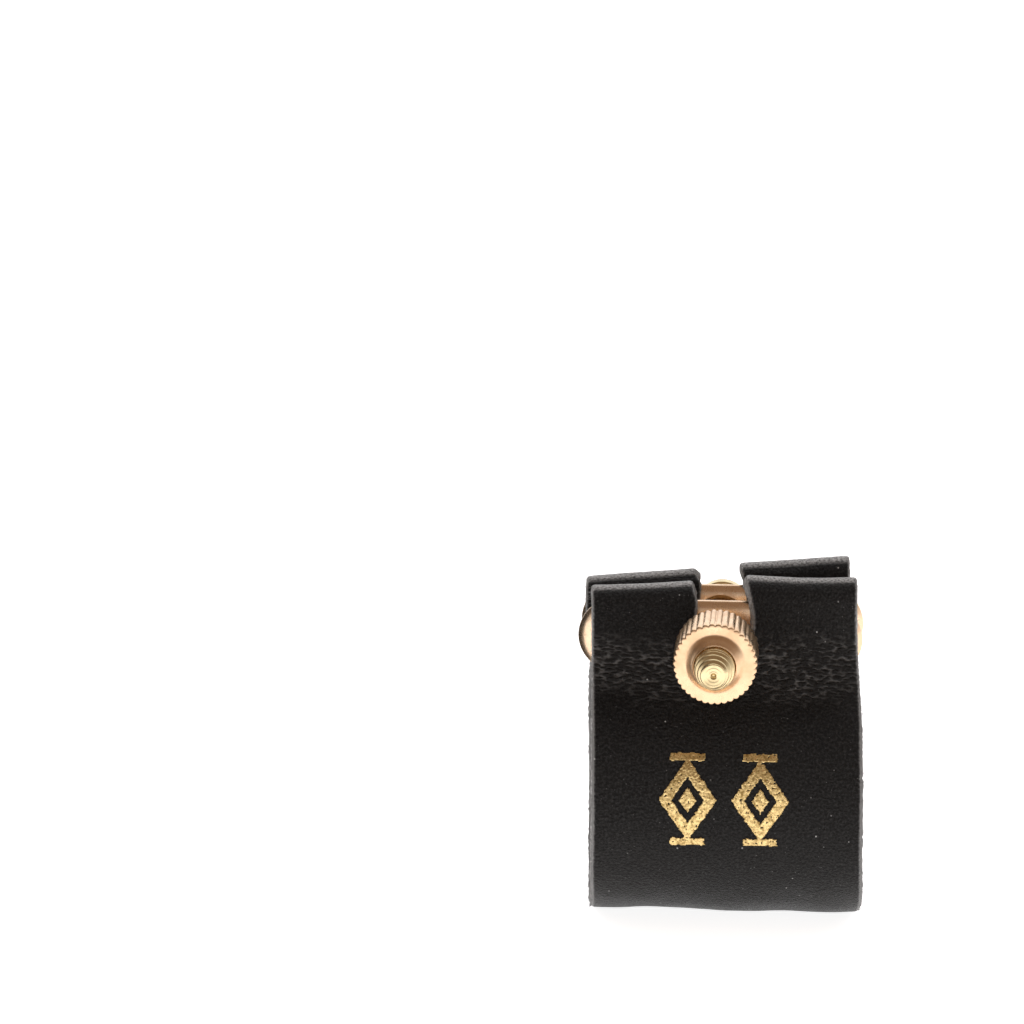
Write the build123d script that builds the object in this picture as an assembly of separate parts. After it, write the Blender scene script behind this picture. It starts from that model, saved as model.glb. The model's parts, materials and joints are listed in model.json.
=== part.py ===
from build123d import *
import math
import os

# Leather ligature that clamps a reed to a saxophone mouthpiece. Millimetres.
# The origin is on the axis of the mouthpiece bore, at the middle of the strap's width.
# +X runs along the bore, -Y points towards the thumb nut, +Z points up to the closure.

# ring of leather around the mouthpiece
STRAP_WIDTH = 30.0
BORE_RADIUS = 12.95
LEATHER = 1.3
RING_RADIUS = BORE_RADIUS + LEATHER
NECK_FILLET = 7.0

# the strap's two ends, each folded over a plate
MOUTH_GAP = 2.3
SKIVED_LEATHER = 0.9
TUCKED_LEATHER = 0.6
POCKET_WIDTH = 2.2
FOLD_CENTRE_Z = 22.1
SLEEVE_INNER_Y = MOUTH_GAP / 2
POCKET_INNER_Y = SLEEVE_INNER_Y + SKIVED_LEATHER
POCKET_OUTER_Y = POCKET_INNER_Y + POCKET_WIDTH
SLEEVE_OUTER_Y = POCKET_OUTER_Y + LEATHER
POCKET_Y = (POCKET_INNER_Y + POCKET_OUTER_Y) / 2
FOLD_Y = (SLEEVE_INNER_Y + SLEEVE_OUTER_Y) / 2
FOLD_RADIUS = (SLEEVE_OUTER_Y - SLEEVE_INNER_Y) / 2
SLEEVE_FOOT_Z = 0.8 * BORE_RADIUS
STRAP_TOP_Z = FOLD_CENTRE_Z + FOLD_RADIUS

# the closure: screw and nut share one axis, a little left of and above the plates' middle
CLOSURE_X = -0.5
CLOSURE_Z = 18.05
PLATE_MIDDLE_X = -0.35
PLATE_MIDDLE_Z = 17.7
SLOT_HALF_WIDTH = 3.0

# the two plates are alike
PLATE_LENGTH = 31.4
PLATE_HEIGHT = 8.4
PLATE_THICKNESS = 1.9
PLATE_EDGE_FILLET = 0.85
PLATE_HOLE_RADIUS = 2.35
PLATE_HOLE_CHAMFER = 0.45
PLATE_OUTER_FACE_Y = POCKET_Y + PLATE_THICKNESS / 2

# the clamp screw
STUD_RADIUS = 2.2
STUD_TIP_Y = -19.2
STUD_TIP_RADIUS = 1.35
STUD_TIP_TAPER = 1.9
TIP_DIMPLE_RADIUS = 0.45
TIP_DIMPLE_DEPTH = 0.35
NECK_RADIUS = 2.6
HEAD_RADIUS = 3.0
HEAD_START_Y = 7.2
HEAD_RIM_Y = 8.5
HEAD_DOME = 0.5

# the thumb nut
NUT_BORE_RADIUS = 2.25
NUT_RADIUS = 4.6
NUT_FRONT_Y = -14.9
NUT_BACK_Y = -9.0
NUT_EDGE_CHAMFER = 0.35
NUT_COLLAR_RADIUS = 2.7
NUT_BOSS_RADIUS = 3.4
NUT_BOSS_HEIGHT = 1.0
FLUTE_COUNT = 38
FLUTE_RADIUS = 0.3
FLUTE_DEPTH = 0.24


def pocket_outline(side):
    """Section of the pocket that holds a plate, above the layer tucked under it."""
    height = FOLD_CENTRE_Z
    shaft = Pos(side * POCKET_Y, height / 2) * Rectangle(POCKET_WIDTH, height)
    rounded_top = Pos(side * POCKET_Y, FOLD_CENTRE_Z) * Circle(POCKET_WIDTH / 2)
    return shaft + rounded_top - Circle(BORE_RADIUS + TUCKED_LEATHER)


def sleeve_outline(side):
    """Outside of one folded end, from inside the ring up to the round fold."""
    height = FOLD_CENTRE_Z - SLEEVE_FOOT_Z
    wall = Pos(side * FOLD_Y, SLEEVE_FOOT_Z + height / 2) * Rectangle(2 * FOLD_RADIUS, height)
    return wall + Pos(side * FOLD_Y, FOLD_CENTRE_Z) * Circle(FOLD_RADIUS)


def neck_outline(side):
    """Concave web where the ring turns up into a sleeve, tangent to both."""
    centre_y = SLEEVE_OUTER_Y + NECK_FILLET
    reach = RING_RADIUS + NECK_FILLET
    centre_z = math.sqrt(reach**2 - centre_y**2)
    on_ring = RING_RADIUS / reach
    corners = [
        (side * POCKET_OUTER_Y, centre_z),
        (side * centre_y, centre_z),
        (side * centre_y * on_ring, centre_z * on_ring),
        (side * POCKET_OUTER_Y, BORE_RADIUS),
    ]
    web = make_face(Polyline(*corners, close=True))
    return web - Pos(side * centre_y, centre_z) * Circle(NECK_FILLET)


def strap_section():
    """Section of the strap across the bore: Y to the right, Z up."""
    section = Circle(RING_RADIUS)
    for side in (-1, 1):
        section += sleeve_outline(side)
        section += neck_outline(side)
    section -= Circle(BORE_RADIUS)
    for side in (-1, 1):
        section -= pocket_outline(side)
    return section - Pos(0, STRAP_TOP_Z / 2) * Rectangle(MOUTH_GAP, 1.2 * STRAP_TOP_Z)


def screw_slot():
    """U-shaped notch through both sleeves, open at the top, that clears the screw."""
    above = 2 * (STRAP_TOP_Z - CLOSURE_Z)
    outline = Circle(SLOT_HALF_WIDTH) + Pos(0, above / 2) * Rectangle(2 * SLOT_HALF_WIDTH, above)
    notch = extrude(Plane.XZ * outline, amount=2 * SLEEVE_OUTER_Y, both=True)
    return Pos(CLOSURE_X, 0, CLOSURE_Z) * notch


def leather_strap():
    body = extrude(Plane.YZ * strap_section(), amount=STRAP_WIDTH / 2, both=True)
    return body - screw_slot()


def plate(side):
    """Round-ended plate with full-round edges; its hole is eased towards the mouth."""
    blank = extrude(Plane.XZ * SlotOverall(PLATE_LENGTH, PLATE_HEIGHT), PLATE_THICKNESS / 2, both=True)
    blank = fillet(blank.edges(), PLATE_EDGE_FILLET)
    hole_x, hole_z = CLOSURE_X - PLATE_MIDDLE_X, CLOSURE_Z - PLATE_MIDDLE_Z
    hole = Pos(hole_x, 0, hole_z) * Rot(90, 0, 0) * Cylinder(PLATE_HOLE_RADIUS, 2 * PLATE_THICKNESS)
    sunk = Cone(
        PLATE_HOLE_RADIUS + PLATE_HOLE_CHAMFER, PLATE_HOLE_RADIUS, PLATE_HOLE_CHAMFER,
        align=(Align.CENTER, Align.CENTER, Align.MIN),
    )
    inner_face = -side * PLATE_THICKNESS / 2
    eased = Pos(hole_x, inner_face, hole_z) * Rot(-side * 90, 0, 0) * sunk
    return Pos(PLATE_MIDDLE_X, side * POCKET_Y, PLATE_MIDDLE_Z) * (blank - hole - eased)


def turned(profile):
    """Solid of revolution about the closure axis, from (radius, y) points."""
    return Pos(CLOSURE_X, 0, CLOSURE_Z) * revolve(make_face(profile), Axis.Y)


def clamp_screw():
    """Stud with a coned tip and centre mark, a neck against the back plate and a round head."""
    dome_radius = (HEAD_RADIUS**2 + HEAD_DOME**2) / (2 * HEAD_DOME)
    dome_mid_y = HEAD_RIM_Y + HEAD_DOME - dome_radius
    half_way = HEAD_RADIUS / 2
    dome_point = (half_way, dome_mid_y + math.sqrt(dome_radius**2 - half_way**2))
    sides = Polyline(
        (0, STUD_TIP_Y + TIP_DIMPLE_DEPTH),
        (TIP_DIMPLE_RADIUS, STUD_TIP_Y),
        (STUD_TIP_RADIUS, STUD_TIP_Y),
        (STUD_RADIUS, STUD_TIP_Y + STUD_TIP_TAPER),
        (STUD_RADIUS, PLATE_OUTER_FACE_Y),
        (NECK_RADIUS, PLATE_OUTER_FACE_Y),
        (NECK_RADIUS, HEAD_START_Y),
        (HEAD_RADIUS, HEAD_START_Y),
        (HEAD_RADIUS, HEAD_RIM_Y),
    )
    dome = ThreePointArc((HEAD_RADIUS, HEAD_RIM_Y), dome_point, (0, HEAD_RIM_Y + HEAD_DOME))
    axis = Line((0, HEAD_RIM_Y + HEAD_DOME), (0, STUD_TIP_Y + TIP_DIMPLE_DEPTH))
    return turned(sides + dome + axis)


def flutes():
    """Grooves of the nut's grip, round the nut's own axis along Y."""
    length = NUT_BACK_Y - NUT_FRONT_Y
    middle_y = (NUT_BACK_Y + NUT_FRONT_Y) / 2
    centre_radius = NUT_RADIUS + FLUTE_RADIUS - FLUTE_DEPTH
    groove = Rot(90, 0, 0) * Cylinder(FLUTE_RADIUS, 2 * length)
    return [
        Pos(CLOSURE_X, middle_y, CLOSURE_Z) * Rot(0, 360 * n / FLUTE_COUNT, 0)
        * Pos(centre_radius, 0, 0) * groove
        for n in range(FLUTE_COUNT)
    ]


def thumb_nut():
    """Fluted round head with a coned boss in front, on a plain collar that bears on the plate."""
    profile = Polyline(
        (NUT_BORE_RADIUS, -PLATE_OUTER_FACE_Y),
        (NUT_COLLAR_RADIUS, -PLATE_OUTER_FACE_Y),
        (NUT_COLLAR_RADIUS, NUT_BACK_Y),
        (NUT_RADIUS - NUT_EDGE_CHAMFER, NUT_BACK_Y),
        (NUT_RADIUS, NUT_BACK_Y - NUT_EDGE_CHAMFER),
        (NUT_RADIUS, NUT_FRONT_Y + NUT_EDGE_CHAMFER),
        (NUT_RADIUS - NUT_EDGE_CHAMFER, NUT_FRONT_Y),
        (NUT_BOSS_RADIUS, NUT_FRONT_Y),
        (NUT_BORE_RADIUS, NUT_FRONT_Y - NUT_BOSS_HEIGHT),
        close=True,
    )
    return turned(profile) - flutes()


def write_step(shape, node):
    shape.label = node
    export_step(shape, os.path.join("parts", node + ".step"))


os.makedirs("parts", exist_ok=True)
write_step(leather_strap(), "leather_strap")
write_step(plate(1), "back_plate")
write_step(plate(-1), "front_plate")
write_step(clamp_screw(), "clamp_screw")
write_step(thumb_nut(), "thumb_nut")
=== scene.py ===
import bpy
import json
import math
import numpy as np
from mathutils import Matrix, Vector, noise


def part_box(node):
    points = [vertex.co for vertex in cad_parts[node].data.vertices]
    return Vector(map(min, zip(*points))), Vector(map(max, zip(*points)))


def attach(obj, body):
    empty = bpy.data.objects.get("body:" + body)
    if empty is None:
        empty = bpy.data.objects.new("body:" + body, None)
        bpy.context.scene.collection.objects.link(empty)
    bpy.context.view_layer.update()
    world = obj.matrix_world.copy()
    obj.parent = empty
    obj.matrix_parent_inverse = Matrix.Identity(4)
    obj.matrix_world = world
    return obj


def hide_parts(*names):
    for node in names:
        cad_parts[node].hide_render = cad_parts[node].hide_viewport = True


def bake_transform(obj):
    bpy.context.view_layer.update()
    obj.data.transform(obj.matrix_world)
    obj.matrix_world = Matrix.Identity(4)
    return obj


# A leather saxophone ligature. Its lengths are in millimetres until a mesh is made; MM makes them metres.
# The floor, the light, the dark box and the distances of bumps are in metres already.
# +X runs along the mouthpiece bore, -Y points towards the thumb nut, +Z points up to the closure.

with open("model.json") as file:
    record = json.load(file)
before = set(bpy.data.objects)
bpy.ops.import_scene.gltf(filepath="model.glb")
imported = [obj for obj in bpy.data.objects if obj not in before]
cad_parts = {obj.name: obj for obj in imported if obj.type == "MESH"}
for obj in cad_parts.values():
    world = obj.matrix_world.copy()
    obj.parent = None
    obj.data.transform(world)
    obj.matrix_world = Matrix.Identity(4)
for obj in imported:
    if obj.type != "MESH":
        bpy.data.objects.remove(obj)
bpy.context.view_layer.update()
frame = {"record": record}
MM = 0.001


def node_box(node):
    """Lowest and highest corner of a CAD node, in millimetres."""
    low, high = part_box(node)
    return Vector(low) / MM, Vector(high) / MM


strap_low, strap_high = node_box("leather_strap")
nut_low, nut_high = node_box("thumb_nut")
screw_low, screw_high = node_box("clamp_screw")
BORE_R = frame["record"]["mounts"][0]["dims"]["r_mm"]
RING_R = -strap_low.z
LEATHER = RING_R - BORE_R
HALF_WIDTH = strap_high.x
TOP_Z = strap_high.z
AXIS_X = (nut_low.x + nut_high.x) / 2
AXIS_Z = (nut_low.z + nut_high.z) / 2
PITCH = 0.75


def smooth(low, high, value):
    """0 below low, 1 above high, easing between; low may be the larger."""
    t = np.clip((value - low) / (high - low), 0, 1)
    return t * t * (3 - 2 * t)


def wave_noise(x, y, z=0.0):
    """Smooth noise from -1 to 1 at one point or at arrays of points."""
    x, y, z = np.broadcast_arrays(x, y, z)
    flat = [noise.noise(Vector(p)) for p in zip(x.ravel(), y.ravel(), z.ravel())]
    return np.array(flat).reshape(x.shape)


def new_piece(name, points, faces, materials, face_material=None, uv=None):
    """Mesh object from points in millimetres, shaded smooth."""
    mesh = bpy.data.meshes.new(name)
    mesh.from_pydata((np.asarray(points) * MM).tolist(), [], faces)
    for material in materials:
        mesh.materials.append(material)
    if face_material is not None:
        mesh.polygons.foreach_set("material_index", np.asarray(face_material, np.int32))
    if uv is not None:
        layer = mesh.uv_layers.new(name="strip")
        corners = np.empty(len(mesh.loops), np.int32)
        mesh.loops.foreach_get("vertex_index", corners)
        layer.data.foreach_set("uv", np.asarray(uv)[corners].astype(np.float32).ravel())
    mesh.polygons.foreach_set("use_smooth", np.ones(len(mesh.polygons), bool))
    mesh.validate()
    mesh.update()
    piece = bpy.data.objects.new(name, mesh)
    bpy.context.collection.objects.link(piece)
    return piece


# ---------------------------------------------------------------- materials

def new_material(name):
    """Material with a Principled shader; returns it, its nodes, its links and the shader."""
    material = bpy.data.materials.new(name)
    material.use_nodes = True
    tree = material.node_tree
    return material, tree.nodes, tree.links, tree.nodes["Principled BSDF"]


def texture(nodes, links, kind, source, scale, **settings):
    """Texture node fed from source, with its inputs set by name."""
    node = nodes.new(kind)
    links.new(source, node.inputs["Vector"])
    node.inputs["Scale"].default_value = scale
    for key, value in settings.items():
        node.inputs[key].default_value = value
    return node


def ramp(nodes, links, source, stops):
    """Colour ramp over (position, colour or grey level) stops."""
    node = nodes.new("ShaderNodeValToRGB")
    links.new(source, node.inputs[0])
    elements = node.color_ramp.elements
    while len(elements) < len(stops):
        elements.new(0.5)
    for element, (position, value) in zip(elements, stops):
        element.position = position
        colour = value if isinstance(value, tuple) else (value, value, value)
        element.color = (*colour, 1)
    return node.outputs["Color"]


def stretched(nodes, links, source, scale):
    """source scaled by a different amount along each axis."""
    node = nodes.new("ShaderNodeMapping")
    node.inputs["Scale"].default_value = scale
    links.new(source, node.inputs["Vector"])
    return node.outputs["Vector"]


def mix_colour(nodes, links, factor, a, b, blend="MIX"):
    """Mixes colours a and b, each a socket or a colour, by factor, a socket or a number."""
    node = nodes.new("ShaderNodeMix")
    node.data_type = "RGBA"
    node.blend_type = blend
    for socket, value in ((node.inputs[0], factor), (node.inputs[6], a), (node.inputs[7], b)):
        if isinstance(value, (int, float)):
            socket.default_value = value
        elif isinstance(value, tuple):
            socket.default_value = (*value, 1)
        else:
            links.new(value, socket)
    return node.outputs[2]


def bump(nodes, links, height, strength, distance, below=None):
    """Bump node in metres of distance, laid over the normal of the one below."""
    node = nodes.new("ShaderNodeBump")
    node.inputs["Strength"].default_value = strength
    node.inputs["Distance"].default_value = distance
    links.new(height, node.inputs["Height"])
    if below is not None:
        links.new(below, node.inputs["Normal"])
    return node.outputs["Normal"]


def multiply(nodes, links, a, b):
    """Product of two sockets."""
    return mix_colour(nodes, links, 1.0, a, b, "MULTIPLY")


def strip_place(nodes):
    """Place on the flat strip, in millimetres across and along it."""
    strip = nodes.new("ShaderNodeUVMap")
    strip.uv_map = "strip"
    return strip.outputs["UV"]


def attribute(nodes, name):
    """Value from 0 to 1 that the mesh stores at each point."""
    node = nodes.new("ShaderNodeAttribute")
    node.attribute_name = name
    return node.outputs["Fac"]


def leather_creases(nodes, links, mm):
    """Distances in small flat cells with wavering sides, wider across the strip than along it."""
    warp = texture(nodes, links, "ShaderNodeTexNoise", mm, 1.1, Detail=3.0)
    bent = mix_colour(nodes, links, 0.6, mm, warp.outputs["Color"], "ADD")
    flattened = stretched(nodes, links, bent, (1.35, 3.6, 1.0))
    creases = texture(nodes, links, "ShaderNodeTexVoronoi", flattened, 1.0, Randomness=1.0)
    creases.feature = "SMOOTH_F1"
    return creases.outputs["Distance"]


def dust_specks(nodes, links, mm):
    """White specks: a few large ones where a slow noise is high, small ones where it is low."""
    patchy = texture(nodes, links, "ShaderNodeTexNoise", mm, 0.5, Detail=1.0).outputs["Fac"]
    coarse = texture(nodes, links, "ShaderNodeTexVoronoi", mm, 0.62, Randomness=1.0).outputs["Distance"]
    fine = texture(nodes, links, "ShaderNodeTexVoronoi", mm, 1.9, Randomness=1.0).outputs["Distance"]
    large = multiply(nodes, links, ramp(nodes, links, coarse, [(0.03, 1.0), (0.07, 0.0)]),
                     ramp(nodes, links, patchy, [(0.42, 0.1), (0.58, 0.75)]))
    small = multiply(nodes, links, ramp(nodes, links, fine, [(0.05, 0.5), (0.12, 0.0)]),
                     ramp(nodes, links, patchy, [(0.42, 0.35), (0.5, 0.0)]))
    return mix_colour(nodes, links, 1.0, large, small, "ADD")


def leather_relief(nodes, links, mm, pores, creases, bend):
    """Normal of the grain side: pitted all over, furrowed where the strip bends."""
    pits = texture(nodes, links, "ShaderNodeTexVoronoi", mm, 3.4, Randomness=1.0)
    furrows = ramp(nodes, links, creases, [(0.1, 1.0), (0.42, 0.72), (0.75, 0.0)])
    normal = bump(nodes, links, pits.outputs["Distance"], 0.9, 0.00012)
    normal = bump(nodes, links, pores, 1.0, 0.00026, normal)
    return bump(nodes, links, multiply(nodes, links, furrows, bend), 1.0, 0.0004, normal)


def black_leather():
    """Coated black leather: painted glints on the grain's high points, a painted sheen over the creased
    neck, wear at the cut edges, a painted highlight on the fold tops, and dust.
    """
    material, nodes, links, shader = new_material("black_leather")
    mm = strip_place(nodes)
    pores = texture(nodes, links, "ShaderNodeTexNoise", mm, 3.2, Detail=4.0, Roughness=0.7).outputs["Fac"]
    cloud = texture(nodes, links, "ShaderNodeTexNoise", mm, 0.16, Detail=4.0, Roughness=0.6).outputs["Fac"]
    creases = leather_creases(nodes, links, mm)
    bend = attribute(nodes, "bend")
    links.new(leather_relief(nodes, links, mm, pores, creases, bend), shader.inputs["Normal"])

    tone = ramp(nodes, links, cloud, [(0.3, (0.0026, 0.0021, 0.0019)), (0.7, (0.005, 0.004, 0.0036))])
    # Painted glints: pale dots on the pore noise's high points stand in for light glancing off the pebbled
    # grain.
    glints = ramp(nodes, links, pores, [(0.47, 0.0), (0.62, 1.0)])
    # Painted sheen: the crease cells in the creased neck are made paler to stand in for the light its
    # wrinkles reflect.
    painted_crease_sheen = multiply(nodes, links, ramp(nodes, links, creases, [(0.42, 0.0), (0.72, 1.0)]), bend)
    catches = ramp(nodes, links, pores, [(0.4, 0.25), (0.58, 1.0)])
    # Pale where the leather is worn at its cut edges, plus the painted highlight along the fold tops.
    rub_and_crest_highlight = multiply(nodes, links, catches, attribute(nodes, "wear"))
    for share, colour in (
        (glints, (0.022, 0.0212, 0.0207)),
        # Painted sheen: the whole creased zone is made paler than the rest of the leather.
        (bend, (0.014, 0.0128, 0.012)),
        (painted_crease_sheen, (0.13, 0.125, 0.121)),
        (rub_and_crest_highlight, (0.55, 0.545, 0.545)),
        (dust_specks(nodes, links, mm), (0.75, 0.74, 0.73)),
    ):
        tone = mix_colour(nodes, links, share, tone, colour)
    links.new(tone, shader.inputs["Base Color"])
    links.new(ramp(nodes, links, cloud, [(0.3, 0.3), (0.7, 0.4)]), shader.inputs["Roughness"])
    shader.inputs["Specular IOR Level"].default_value = 0.17
    return material


def grey_suede(name="grey_suede", dark=(0.02, 0.0175, 0.016), light=(0.12, 0.108, 0.1)):
    """Rough flesh side and cut edge of the leather, with short matted fibres."""
    material, nodes, links, shader = new_material(name)
    mm = strip_place(nodes)
    nap = texture(nodes, links, "ShaderNodeTexNoise", mm, 3.2, Detail=8.0, Roughness=0.8)
    patches = texture(nodes, links, "ShaderNodeTexNoise", mm, 0.35,
                      Detail=6.0, Roughness=0.7, Distortion=0.6)
    combed = stretched(nodes, links, mm, (3.0, 14.0, 1.0))
    fibres = texture(nodes, links, "ShaderNodeTexNoise", combed, 1.0, Detail=3.0, Distortion=1.2)
    tone = ramp(nodes, links, nap.outputs["Fac"], [(0.36, dark), (0.64, light)])
    shade = ramp(nodes, links, patches.outputs["Fac"], [(0.34, 0.45), (0.62, 1.0)])
    links.new(multiply(nodes, links, tone, shade), shader.inputs["Base Color"])
    normal = bump(nodes, links, nap.outputs["Fac"], 1.0, 0.00025)
    links.new(bump(nodes, links, fibres.outputs["Fac"], 0.8, 0.00014, normal), shader.inputs["Normal"])
    shader.inputs["Roughness"].default_value = 0.95
    shader.inputs["Specular IOR Level"].default_value = 0.2
    shader.inputs["Sheen Weight"].default_value = 0.25
    shader.inputs["Sheen Roughness"].default_value = 0.6
    return material


def brass(name, colour, deep, rough, marks=(1.0, 1.0, 1.0), mark_scale=3000):
    """Brass, deeper in colour where it is rougher; marks stretches the tooling lines along the axes."""
    material, nodes, links, shader = new_material(name)
    place = nodes.new("ShaderNodeTexCoord").outputs["Object"]
    lines = texture(nodes, links, "ShaderNodeTexNoise", stretched(nodes, links, place, marks), mark_scale,
                    Detail=3.0, Roughness=0.6)
    tarnish = texture(nodes, links, "ShaderNodeTexNoise", place, 420, Detail=5.0, Roughness=0.65)
    tarnish = tarnish.outputs["Fac"]
    smoothest, roughest = rough
    links.new(ramp(nodes, links, tarnish, [(0.34, deep), (0.6, colour)]), shader.inputs["Base Color"])
    links.new(ramp(nodes, links, tarnish, [(0.35, roughest), (0.65, smoothest)]), shader.inputs["Roughness"])
    links.new(bump(nodes, links, lines.outputs["Fac"], 0.5, 0.000012), shader.inputs["Normal"])
    shader.inputs["Metallic"].default_value = 1.0
    return material


def gold_foil():
    """Stamped foil: crinkled, with the leather's grain printed through."""
    material, nodes, links, shader = new_material("gold_foil")
    place = nodes.new("ShaderNodeTexCoord").outputs["Object"]
    grain = texture(nodes, links, "ShaderNodeTexVoronoi", place, 4600, Randomness=1.0)
    crinkle = texture(nodes, links, "ShaderNodeTexNoise", place, 1800, Detail=4.0, Roughness=0.7)
    wear = texture(nodes, links, "ShaderNodeTexNoise", place, 2600, Detail=3.0, Roughness=0.7)
    tone = ramp(nodes, links, wear.outputs["Fac"], [(0.34, (0.3, 0.19, 0.06)), (0.6, (0.88, 0.65, 0.3))])
    links.new(tone, shader.inputs["Base Color"])
    links.new(ramp(nodes, links, wear.outputs["Fac"], [(0.3, 0.42), (0.7, 0.2)]), shader.inputs["Roughness"])
    normal = bump(nodes, links, grain.outputs["Distance"], 0.5, 0.00006)
    links.new(bump(nodes, links, crinkle.outputs["Fac"], 0.6, 0.0001, normal), shader.inputs["Normal"])
    shader.inputs["Metallic"].default_value = 0.9
    return material


def floor_white():
    """Plain matt white with the faintest mottling."""
    material, nodes, links, shader = new_material("floor_white")
    place = nodes.new("ShaderNodeTexCoord").outputs["Object"]
    mottle = texture(nodes, links, "ShaderNodeTexNoise", place, 6, Detail=2.0)
    tone = ramp(nodes, links, mottle.outputs["Fac"], [(0.3, 0.93), (0.7, 0.95)])
    links.new(tone, shader.inputs["Base Color"])
    shader.inputs["Roughness"].default_value = 0.9
    shader.inputs["Specular IOR Level"].default_value = 0.1
    shader.inputs["Emission Color"].default_value = (1, 1, 1, 1)
    shader.inputs["Emission Strength"].default_value = 0.87
    return material


LEATHER_SKIN = black_leather()
SUEDE = grey_suede()
RAW_EDGE = grey_suede("raw_edge", (0.1, 0.097, 0.096), (0.8, 0.79, 0.79))
GILT = brass("gilt_brass", (0.9, 0.67, 0.47), (0.8, 0.56, 0.37), (0.21, 0.33), (1.0, 6.0, 6.0), 900)
NUT_GILT = brass("nut_brass", (0.87, 0.62, 0.395), (0.76, 0.5, 0.3), (0.24, 0.36))
SCREW_BRASS = brass("screw_brass", (0.84, 0.68, 0.4), (0.62, 0.49, 0.28), (0.2, 0.34))
FOIL = gold_foil()


# ---------------------------------------------------------------- the strap

MOUTH_HALF = 1.15
SKIVED = 0.9
TUCKED = 0.6
POCKET = 2.2
TUCK_END_Y = 6.1
TUCK_CORNER_R = 0.5
NECK_R = 7.0
FOLD_R = (SKIVED + POCKET + LEATHER) / 2
FOLD_Z = TOP_Z - FOLD_R
FLESH_IN_Y = MOUTH_HALF + SKIVED
FLESH_OUT_Y = FLESH_IN_Y + POCKET
WALL_Y = FLESH_OUT_Y + LEATHER
NECK_Y = WALL_Y + NECK_R
NECK_Z = math.sqrt((RING_R + NECK_R) ** 2 - NECK_Y**2)
RING_START = math.atan2(NECK_Z, NECK_Y)


def arc(centre, radius, start, end, t):
    """Points on an arc in the Y-Z plane; t runs from 0 to 1."""
    angle = start + (end - start) * t
    return np.stack([centre[0] + radius * np.cos(angle), centre[1] + radius * np.sin(angle)], -1)


def line(a, b, t):
    """Points on a straight run; t runs from 0 to 1."""
    return np.array(a) + (np.array(b) - np.array(a)) * t[:, None]


def half_strip():
    """Grain and flesh lines of half the strip, from its tucked end to the bottom of the ring, at +Y."""
    t = np.linspace(0, 1, 200)
    tuck_start = math.acos(TUCK_END_Y / BORE_R)
    corner_y = MOUTH_HALF + TUCK_CORNER_R
    tuck_end = math.acos(corner_y / BORE_R)
    corner_z = math.sqrt(BORE_R**2 - corner_y**2) + TUCK_CORNER_R
    angle = tuck_start + (tuck_end - tuck_start) * t
    tuck_r = BORE_R + TUCKED * smooth(-0.05, 0.45, t)
    tuck_flesh = np.stack([tuck_r * np.cos(angle), tuck_r * np.sin(angle)], -1)
    flesh_foot = math.sqrt((BORE_R + TUCKED) ** 2 - FLESH_IN_Y**2) + 0.1
    neck, neck_stop = (NECK_Y, NECK_Z), math.pi + RING_START
    parts = [
        (arc((0, 0), BORE_R, tuck_start, tuck_end, t), tuck_flesh),
        (arc((corner_y, corner_z), TUCK_CORNER_R, -math.pi / 2, -math.pi, t),
         line(tuck_flesh[-1], (FLESH_IN_Y, flesh_foot), t)),
        (line((MOUTH_HALF, corner_z), (MOUTH_HALF, FOLD_Z), t),
         line((FLESH_IN_Y, flesh_foot), (FLESH_IN_Y, FOLD_Z), t)),
        (arc((MOUTH_HALF + FOLD_R, FOLD_Z), FOLD_R, math.pi, 0, t),
         arc((FLESH_IN_Y + POCKET / 2, FOLD_Z), POCKET / 2, math.pi, 0, t)),
        (line((WALL_Y, FOLD_Z), (WALL_Y, NECK_Z), t), line((FLESH_OUT_Y, FOLD_Z), (FLESH_OUT_Y, NECK_Z), t)),
        (arc(neck, NECK_R, math.pi, neck_stop, t), arc(neck, NECK_R + LEATHER, math.pi, neck_stop, t)),
        (arc((0, 0), RING_R, RING_START, -math.pi / 2, t), arc((0, 0), BORE_R, RING_START, -math.pi / 2, t)),
    ]
    grain = np.concatenate([parts[0][0]] + [g[1:] for g, _ in parts[1:]])
    flesh = np.concatenate([parts[0][1]] + [f[1:] for _, f in parts[1:]])
    return grain, flesh


HALF_GRAIN, HALF_FLESH = half_strip()
HALF_RUN = np.concatenate([[0], np.cumsum(np.linalg.norm(np.diff(HALF_GRAIN, axis=0), axis=1))])
HALF_LENGTH = HALF_RUN[-1]
STRIP_LENGTH = 2 * HALF_LENGTH


def on_strip(run, side_line):
    """Point on the grain or flesh line, run millimetres from the back's tucked end to the front's."""
    folded = np.where(run > HALF_LENGTH, STRIP_LENGTH - run, run)
    y = np.interp(folded, HALF_RUN, side_line[:, 0])
    z = np.interp(folded, HALF_RUN, side_line[:, 1])
    return np.where(run > HALF_LENGTH, -y, y), z


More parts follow.
